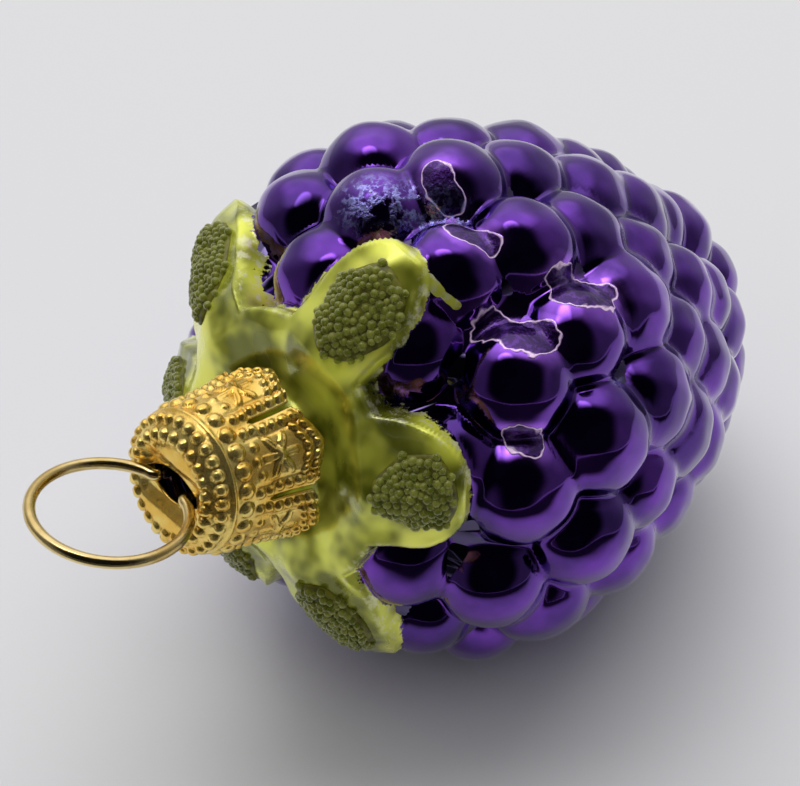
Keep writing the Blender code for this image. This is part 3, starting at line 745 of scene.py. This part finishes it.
def joined(name, meshes):
    """One plain mesh from several, each keeping its own materials."""
    edit = bmesh.new()
    materials = []
    for mesh in meshes:
        before = len(edit.faces)
        edit.from_mesh(mesh)
        edit.faces.ensure_lookup_table()
        shift = len(materials)
        for k in range(before, len(edit.faces)):
            edit.faces[k].material_index += shift
        materials += list(mesh.materials)
    whole = bpy.data.meshes.new(name)
    edit.to_mesh(whole)
    edit.free()
    for material in materials:
        whole.materials.append(material)
    return whole


glue_finish = green_glue()
beads_on_glue = bead_tree(bead_glass())
for index in range(len(SEPALS)):
    name = f"bead_pad_{index + 1}"
    bed = place_object(name, glue_bed(index), [glue_finish])
    scatter = bed.modifiers.new("beads", "NODES")
    scatter.node_group = beads_on_glue
    set_input(scatter, "Bead radius", BEAD_R * MM)
    set_input(scatter, "Spacing", BEAD_SPACING * MM)
    set_input(scatter, "Seed", BEAD_SEED + index)
    bed.data = joined(name, [bed.data, kept_mesh(bed)])
    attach(bed, "root")
    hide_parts(f"sepal_beads_{index + 1}")

# Crown cap.
# The cap is one piece of thin gold-coloured sheet, stamped into a crown with a beaded
# top and six petals that grip the glass neck. The wire's slot is punched in its top.
CAP_SHEET = 0.3
CAP_TOP_Z = 40.9
# The turned outline, from the middle of the top to the petals' points.
CAP_OUTLINE = (
    (CAP_TOP_Z, 0.0),
    (CAP_TOP_Z, 2.8),
    (40.8, 4.6),
    (40.0, 6.1),
    (38.3, 6.8),
    (35.6, 7.0),
    (32.2, 7.4),
    (28.8, 8.2),
)
PETALS = 6
PETAL_TURN = -72.0
PETAL_POINT = 1.5
PETAL_COLUMNS = 52
SLIT_WIDTH = 0.5
SLIT_LENGTH = 6.2
SLOT_LENGTH = 7.4
SLOT_WIDTH = 3.0
SLOT_TURN = -112.0
SLOT_LIP = 0.7
SLOT_EDGE_S = 4.1
# The top is pushed in beside the slot, less and less away from it and not down the side.
DIP_ACROSS = (3.0, 1.4)
DIP_ALONG = (4.4, 3.0)
DIP_DEPTH = 1.5
# Rows of stamped beads: length from the axis, how many, bead radius and height.
CAP_BEAD_ROWS = ((4.95, 24, 0.58, 0.42), (6.55, 30, 0.56, 0.42), (9.0, 24, 0.74, 0.48))
CAP_LINE_S = 7.7
CAP_LINE_SIZE = 0.2
# Beads along a petal's sides, and in two rows along its pointed end.
BORDER_S = 9.9
BORDER_IN = 0.78
BORDER_PITCH = 1.05
BORDER_BEAD = 0.48
BORDER_RISE = 0.38
GROOVE_IN = 1.5
GROOVE_WIDTH = 0.16
GROOVE_DEPTH = 0.12
END_ROWS = ((0.6, 0.42), (1.6, 0.44))
END_PITCH = 0.98
END_RISE = 0.36
# The flower in the middle of a petal, and three dots above it.
FLOWER_S = 13.1
FLOWER_RISE = 0.42
FLOWER_CORE_R = 0.55
FLOWER_LEAF = 1.75
CREASE_WIDTH = 0.22
CREASE_DEPTH = 0.16
BOSS_R = 0.5
DOTS = ((10.6, 0.0), (10.8, 1.3), (10.8, -1.3))
DOT_R = 0.42
DOT_RISE = 0.24
PILLOW = 0.25
PILLOW_ZONE = (8.5, 10.5)
# The mesh: rows from the slot to the first beads, down to the slits, and beside them.
TOP_ROWS = 14
SIDE_ROW = 0.15
PETAL_ROWS = 44
WELD = 0.00001
cap_outline = Outline(CAP_OUTLINE)


def round_top(far, radius):
    """The height of a round bead at a distance from its middle, one at the middle."""
    return np.sqrt(np.clip(1.0 - (far / radius) ** 2, 0.0, 1.0))


def beads_along(along, off, at, pitch, radius):
    """Round-topped beads in a line: how far along it, and how far off it."""
    step = np.mod(along / pitch + 0.5, 1.0) - 0.5
    return round_top(np.hypot(step * pitch, off - at), radius)


def cap_stamping(s, turn, off, half, end):
    """Height of the stamped pattern, in millimetres."""
    radius = cap_outline.radius(s)
    height = np.zeros(np.shape(s))
    # bead rows round the top, and the plain line under them
    for at, count, size, tall in CAP_BEAD_ROWS:
        around = turn * count / (2.0 * np.pi)
        pitch = 2.0 * np.pi * radius / count
        bead = beads_along(around * pitch, s, at, pitch, size)
        height = np.maximum(height, tall * bead)
    line = np.exp(-(((s - CAP_LINE_S) / CAP_LINE_SIZE) ** 2))
    height = np.maximum(height, CAP_LINE_SIZE * line)
    # petal borders
    below = smooth_step(BORDER_S, BORDER_S + 0.4, s)
    side = beads_along(s, half - np.abs(off), BORDER_IN, BORDER_PITCH, BORDER_BEAD) * below
    height = np.maximum(height, BORDER_RISE * side)
    groove = np.exp(-(((half - np.abs(off) - GROOVE_IN) / GROOVE_WIDTH) ** 2)) * below
    from_end = end - s
    within = smooth_step(half - 0.2, half - 0.6, np.abs(off))
    for row, size in END_ROWS:
        last = beads_along(off, from_end, row, END_PITCH, size) * within
        height = np.maximum(height, END_RISE * last)
    # the flower: pointed leaves, each with a crease, round a small boss
    along = s - FLOWER_S
    far = np.hypot(along, off)
    angle = np.arctan2(off, along)
    leaf = np.abs(np.cos(3.0 * angle))
    reach = FLOWER_CORE_R + FLOWER_LEAF * leaf**2
    within = smooth_step(0.0, 0.35, reach - far)
    from_crease = (np.mod(angle * 3.0 / np.pi + 0.5, 1.0) - 0.5) * far * 1.9
    crease = np.exp(-((from_crease / CREASE_WIDTH) ** 2)) * smooth_step(0.3, 0.9, far)
    flower = within * (FLOWER_RISE - 0.1 * far - CREASE_DEPTH * crease)
    height = np.maximum(height, np.maximum(flower, BOSS_R * round_top(far, BOSS_R)))
    for dot_s, dot_off in DOTS:
        dot = round_top(np.hypot(s - dot_s, off - dot_off), DOT_R)
        height = np.maximum(height, DOT_RISE * dot)
    pillow = PILLOW * np.cos(np.clip(off / half, -1.0, 1.0) * np.pi / 2.0)
    return height + pillow * smooth_step(*PILLOW_ZONE, s) - GROOVE_DEPTH * groove


def slot_dip(place):
    """The top is pushed in along both lips of the slot."""
    turn = math.radians(SLOT_TURN)
    along = place[..., 0] * math.cos(turn) + place[..., 1] * math.sin(turn)
    sideways = place[..., 1] * math.cos(turn) - place[..., 0] * math.sin(turn)
    dip = smooth_step(*DIP_ACROSS, np.abs(sideways)) * smooth_step(*DIP_ALONG, np.abs(along))
    lowered = place.copy()
    lowered[..., 2] -= SLOT_LIP * dip * (place[..., 2] > CAP_OUTLINE[2][0] - DIP_DEPTH)
    return lowered


def slot_rim(angle):
    """Distance from the axis to the lens-shaped slot's edge at an angle from its length."""
    half_length, half_width = SLOT_LENGTH / 2.0, SLOT_WIDTH / 2.0
    bow = (half_length**2 + half_width**2) / (2.0 * half_width)
    lower = bow - half_width
    sine = np.abs(np.sin(angle))
    return -lower * sine + np.sqrt(bow**2 - lower**2 * (1.0 - sine**2))


def make_cap():
    """The sheet ring by ring, from the slot's edge out to the petals' points."""
    columns = PETALS * PETAL_COLUMNS
    share = np.tile(np.linspace(-1.0, 1.0, PETAL_COLUMNS), PETALS)
    petal = np.repeat(np.arange(PETALS), PETAL_COLUMNS)
    centre = np.radians(PETAL_TURN) + petal * 2.0 * np.pi / PETALS
    end = cap_outline.end - PETAL_POINT * np.abs(share)
    slit_top = cap_outline.end - SLIT_LENGTH
    rows = []
    whole_turn = centre + share * np.pi / PETALS
    for part in np.linspace(0.0, 1.0, TOP_ROWS, endpoint=False):
        angle = whole_turn - math.radians(SLOT_TURN)
        rim = slot_rim(angle)
        away = rim + (SLOT_EDGE_S - rim) * part
        rows.append(slot_dip(cap_outline.place(away, whole_turn)))
    beside_slits = slit_top + SLIT_LENGTH * np.linspace(0.0, 1.0, PETAL_ROWS)
    lengths = np.concatenate([np.arange(SLOT_EDGE_S, slit_top, SIDE_ROW), beside_slits])
    for s in lengths:
        full = np.full(columns, s)
        if s > slit_top:
            full = slit_top + (s - slit_top) / SLIT_LENGTH * (end - slit_top)
        radius = cap_outline.radius(full)
        opened = 0.5 * SLIT_WIDTH * smooth_step(slit_top - 0.05, slit_top + 0.35, full)
        half = np.pi / PETALS * radius - opened
        off = share * half
        turn = centre + off / radius
        lift = cap_stamping(full, turn, off, half, end)
        rows.append(slot_dip(cap_outline.place(full, turn, lift)))
    places = laid(np.vstack(rows))
    faces = []
    for row in range(len(rows) - 1):
        upper, lower = row * columns, (row + 1) * columns
        for k in range(columns):
            after = (k + 1) % columns
            if after % PETAL_COLUMNS:
                faces.append((upper + k, lower + k, lower + after, upper + after))
    mesh = skin_mesh("stamped_crown_cap", places, faces)
    edit = bmesh.new()
    edit.from_mesh(mesh)
    bmesh.ops.remove_doubles(edit, verts=edit.verts, dist=WELD)
    edit.to_mesh(mesh)
    edit.free()
    return mesh


def stamped_gold():
    material, sheet, shader = new_finish("stamped_gold_sheet")
    place = sheet.add("ShaderNodeTexCoord").outputs["Object"]
    warm = sheet.noise(place, 300.0, 2.0)
    gold = sheet.mix(sheet.ramp(warm, 0.35, 0.65), colour(0.93, 0.58, 0.10), colour(1.0, 0.77, 0.22))
    # painted shade: the hollows of the stamping are darkened to brown
    hollow_shade = sheet.add("ShaderNodeNewGeometry").outputs["Pointiness"]
    gold = sheet.mix(sheet.ramp(hollow_shade, 0.5, 0.42), gold, colour(0.52, 0.25, 0.03))
    sheet.feed(shader.inputs["Base Color"], gold)
    shader.inputs["Metallic"].default_value = 0.88
    haze = sheet.noise(place, 900.0, 3.0)
    sheet.feed(shader.inputs["Roughness"], sheet.ramp(haze, 0.3, 0.7, 0.15, 0.28))
    sheet.bump(shader, sheet.noise(place, 1400.0, 2.0), 0.4, 0.0001)
    return material


cap = place_object("stamped_crown_cap", make_cap(), [stamped_gold()])
sheet_wall = cap.modifiers.new("sheet", "SOLIDIFY")
sheet_wall.thickness = CAP_SHEET * MM
sheet_wall.offset = -1.0
cap.data = kept_mesh(cap)
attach(cap, "root")
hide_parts("crown_cap")

# Hanger wire.
# One length of springy pale brass wire, bent round a former into a loop. Its two legs
# go down through the slot and spread inside the neck, which holds the cap on.
WIRE_R = 0.55
LOOP_R = 6.9
LOOP_MIDDLE = 6.55
LOOP_OPENING = 18.0
LOOP_LEAN = 2.0
# One leg, from the cap down to its end: height on the axis, and distance from it.
LEG = (
    (CAP_TOP_Z - 1.1, 1.95),
    (38.9, 2.1),
    (37.4, 2.9),
    (35.4, 3.35),
    (31.0, 3.35),
    (28.6, 3.3),
    (26.4, 3.9),
    (24.4, 5.0),
)
LOOP_FOOT_Z = CAP_TOP_Z - 0.2
LOOP_POINTS = 41
WIRE_STEPS = 6
WIRE_SIDES = 20
WIRE_END = 0.75


def wire_path():
    """Up one leg, round the loop and down the other, as one smooth curve."""
    leg = np.array([(r, 0.0, z) for z, r in LEG])
    angles = np.radians(np.linspace(LOOP_OPENING, 360.0 - LOOP_OPENING, LOOP_POINTS))
    x, up = LOOP_R * np.sin(angles), LOOP_MIDDLE - LOOP_R * np.cos(angles)
    lean = math.radians(LOOP_LEAN)
    loop = np.stack([x, -up * math.sin(lean), LOOP_FOOT_Z + up * math.cos(lean)], axis=-1)
    path = smooth_line(np.vstack([leg[::-1], loop, leg * (-1.0, 1.0, 1.0)]), WIRE_STEPS)
    turn = np.array(Matrix.Rotation(math.radians(SLOT_TURN), 3, "Z"))
    return path @ turn.T


def make_wire():
    """A round tube swept along the path, with rounded ends."""
    path = wire_path()
    ahead = np.gradient(path, axis=0)
    ahead /= np.linalg.norm(ahead, axis=1, keepdims=True)
    side = np.cross(ahead[0], (0.0, 0.0, 1.0))
    side = side / np.linalg.norm(side) if np.linalg.norm(side) > 0.1 else np.array([1.0, 0.0, 0.0])
    rings = []
    angle = 2.0 * np.pi * np.arange(WIRE_SIDES) / WIRE_SIDES
    for k, (place, way) in enumerate(zip(path, ahead)):
        side = side - way * (side @ way)
        side = side / np.linalg.norm(side)
        other = np.cross(way, side)
        size = WIRE_R * (WIRE_END if k in (0, len(path) - 1) else 1.0)
        rings.append(place + size * (np.cos(angle)[:, None] * side + np.sin(angle)[:, None] * other))
    places = laid(np.vstack([*rings, path[:1], path[-1:]]))
    low, high = (np.array(corner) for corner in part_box("hanger_wire"))
    places = np.clip(places, low, high)
    faces = [quad[::-1] for quad in grid_faces(len(rings), WIRE_SIDES)]
    last = (len(rings) - 1) * WIRE_SIDES
    for k in range(WIRE_SIDES):
        after = (k + 1) % WIRE_SIDES
        faces.append((after, len(places) - 2, k)[::-1])
        faces.append((last + k, len(places) - 1, last + after)[::-1])
    mesh = skin_mesh("brass_hanger_wire", places, faces)
    edit = bmesh.new()
    edit.from_mesh(mesh)
    bmesh.ops.recalc_face_normals(edit, faces=edit.faces)
    edit.to_mesh(mesh)
    edit.free()
    return mesh


def drawn_brass():
    material, sheet, shader = new_finish("drawn_pale_brass")
    place = sheet.add("ShaderNodeTexCoord").outputs["Object"]
    tarnish = sheet.noise(place, 250.0, 3.0)
    brass = sheet.mix(sheet.ramp(tarnish, 0.4, 0.7), colour(0.86, 0.68, 0.30), colour(0.66, 0.47, 0.16))
    sheet.feed(shader.inputs["Base Color"], brass)
    shader.inputs["Metallic"].default_value = 1.0
    sheet.feed(shader.inputs["Roughness"], sheet.ramp(tarnish, 0.3, 0.7, 0.14, 0.28))
    sheet.bump(shader, sheet.noise(place, 1200.0, 2.0), 0.15, 0.0001)
    return material


wire = place_object("brass_hanger_wire", make_wire(), [drawn_brass()])
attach(wire, "root")
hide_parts("hanger_wire")

# Table and light.
# A pale matt tabletop. Soft daylight comes from above and behind, and the side that
# the picture is taken from is dark, which is what the mirror-like glass shows.
# The picture's view: its direction, how far off, and where in the frame the berry is.
VIEW_TURN = -44.11
VIEW_HEIGHT = 41.73
VIEW_DISTANCE = 192.0
VIEW_FOCUS = 1850.0
BODY_AT = (474.0, 374.0)
FRAME_SIZE = (800.0, 786.0)
SENSOR_WIDTH = 36.0
TABLE_HALF = 2.0


def flat_sheet(name, corners):
    return place_object(name, skin_mesh(name, corners, [(0, 1, 2, 3)]))


table = flat_sheet("tabletop", [
    (-TABLE_HALF, -TABLE_HALF, 0.0),
    (TABLE_HALF, -TABLE_HALF, 0.0),
    (TABLE_HALF, TABLE_HALF, 0.0),
    (-TABLE_HALF, TABLE_HALF, 0.0),
])
table_finish, _, table_shader = new_finish("matt_tabletop")
table_shader.inputs["Base Color"].default_value = colour(0.74, 0.75, 0.75)
table_shader.inputs["Roughness"].default_value = 0.6
table.data.materials.append(table_finish)

turn, height = math.radians(VIEW_TURN), math.radians(VIEW_HEIGHT)
view_right = Vector((math.cos(turn), math.sin(turn), 0.0))
view_back = Vector((math.sin(turn), -math.cos(turn), 0.0)) * math.cos(height)
view_back.z = math.sin(height)
view_up = view_back.cross(view_right)
body = Vector(BODY_PLACE) * MM
reach = VIEW_DISTANCE * MM
aim_right = (BODY_AT[0] - FRAME_SIZE[0] / 2.0) / VIEW_FOCUS * reach
aim_up = (FRAME_SIZE[1] / 2.0 - BODY_AT[1]) / VIEW_FOCUS * reach
camera = bpy.data.objects.new("camera", bpy.data.cameras.new("camera"))
bpy.context.scene.collection.objects.link(camera)
camera.location = body + view_back * reach - view_right * aim_right - view_up * aim_up
camera.rotation_euler = Matrix((view_right, view_up, view_back)).transposed().to_euler()
camera.data.sensor_width = SENSOR_WIDTH
camera.data.lens = VIEW_FOCUS / FRAME_SIZE[0] * SENSOR_WIDTH
camera.data.clip_start = 0.01
camera.data.clip_end = 20.0
bpy.context.scene.camera = camera

# The lamps light the table and the beads; the glass and the metal show only the room.
LAMP_DISTANCE = 0.9
LAMP_SIZE = (1.1, 0.9)


def soft_light(name, way, power, tint=(1.0, 1.0, 1.0)):
    """A rectangular lamp aimed at the berry; way is its direction from the berry."""
    lamp = bpy.data.lights.new(name, "AREA")
    lamp.shape = "RECTANGLE"
    lamp.size, lamp.size_y = LAMP_SIZE
    lamp.energy = power
    lamp.color = tint
    obj = bpy.data.objects.new(name, lamp)
    bpy.context.scene.collection.objects.link(obj)
    direction = Vector(way).normalized()
    obj.location = body + direction * LAMP_DISTANCE
    obj.rotation_euler = direction.to_track_quat("Z", "Y").to_euler()
    obj.visible_glossy = False


soft_light("lamp_behind", (0.63, 0.43, 1.2), 4.3, (1.0, 0.99, 0.97))
soft_light("lamp_in_front", (-0.55, -0.25, 1.0), 2.5)

# A dark sheet in front, out of the picture, that stands for the shade on the near table: painted shade
# that only the glass and the metal show.
# It starts near the berry, fades in softly and lies just over the table.
SHADE_SHEET_NEAR = 0.05
SHADE_SHEET_FAR = 0.9
SHADE_SHEET_HALF = 0.5
SHADE_SHEET_LIFT = 0.0006
SHADE_SHEET_FADE = (0.052, 0.12)
front = Vector((view_back.x, view_back.y, 0.0)).normalized()
side = Vector((front.y, -front.x, 0.0))
lift = Vector((0.0, 0.0, SHADE_SHEET_LIFT))
shade_sheet = flat_sheet("painted_shade_sheet", [
    tuple(front * SHADE_SHEET_NEAR + side * SHADE_SHEET_HALF + lift),
    tuple(front * SHADE_SHEET_NEAR - side * SHADE_SHEET_HALF + lift),
    tuple(front * SHADE_SHEET_FAR - side * SHADE_SHEET_HALF + lift),
    tuple(front * SHADE_SHEET_FAR + side * SHADE_SHEET_HALF + lift),
])
shade_sheet_finish, shade_sheet_nodes, shade_sheet_shader = new_finish("painted_shade_sheet")
shade_sheet_shader.inputs["Base Color"].default_value = colour(0.015, 0.015, 0.017)
shade_sheet_shader.inputs["Roughness"].default_value = 0.9
shade_sheet_place = shade_sheet_nodes.add("ShaderNodeTexCoord").outputs["Object"]
shade_sheet_out = shade_sheet_nodes.vector("DOT_PRODUCT", shade_sheet_place, tuple(front)).outputs["Value"]
shade_sheet_nodes.feed(shade_sheet_shader.inputs["Alpha"], shade_sheet_nodes.ramp(shade_sheet_out, *SHADE_SHEET_FADE))
shade_sheet.data.materials.append(shade_sheet_finish)
shade_sheet.visible_camera = False
shade_sheet.visible_diffuse = False
shade_sheet.visible_shadow = False

world = bpy.data.worlds.new("dim_room")
bpy.context.scene.world = world
world.use_nodes = True
room = NodeSheet(world.node_tree)
way = room.add("ShaderNodeTexCoord").outputs["Generated"]


def room_part(direction, low, high):
    """One in a direction of the room, fading softly to nothing away from it."""
    aim = tuple(Vector(direction).normalized())
    return room.ramp(room.vector("DOT_PRODUCT", way, aim).outputs["Value"], low, high)


# A dim room, paler behind the berry, with soft daylight overhead, one bright pane and
# the dark side that the picture is taken from.
sky = room.mix(room_part((0.7, 0.7, 0.35), 0.0, 0.9), colour(0.14, 0.14, 0.15), colour(0.50, 0.50, 0.52))
sky = room.mix(room_part((0.25, 0.5, 1.0), 0.70, 0.93), sky, colour(1.15, 1.12, 1.2))
sky = room.mix(room_part((-0.15, 0.15, 1.0), 0.955, 0.985), sky, colour(4.6, 4.4, 4.8))
sky = room.mix(room_part(tuple(view_back), 0.45, 0.75), sky, colour(0.006, 0.006, 0.007))
# A pale wall is all that a picture shows of the room itself.
seen = room.add("ShaderNodeLightPath").outputs["Is Camera Ray"]
sky = room.mix(seen, sky, colour(0.70, 0.70, 0.71))
room.feed(world.node_tree.nodes["Background"].inputs["Color"], sky)
bpy.context.scene.view_settings.view_transform = "Standard"
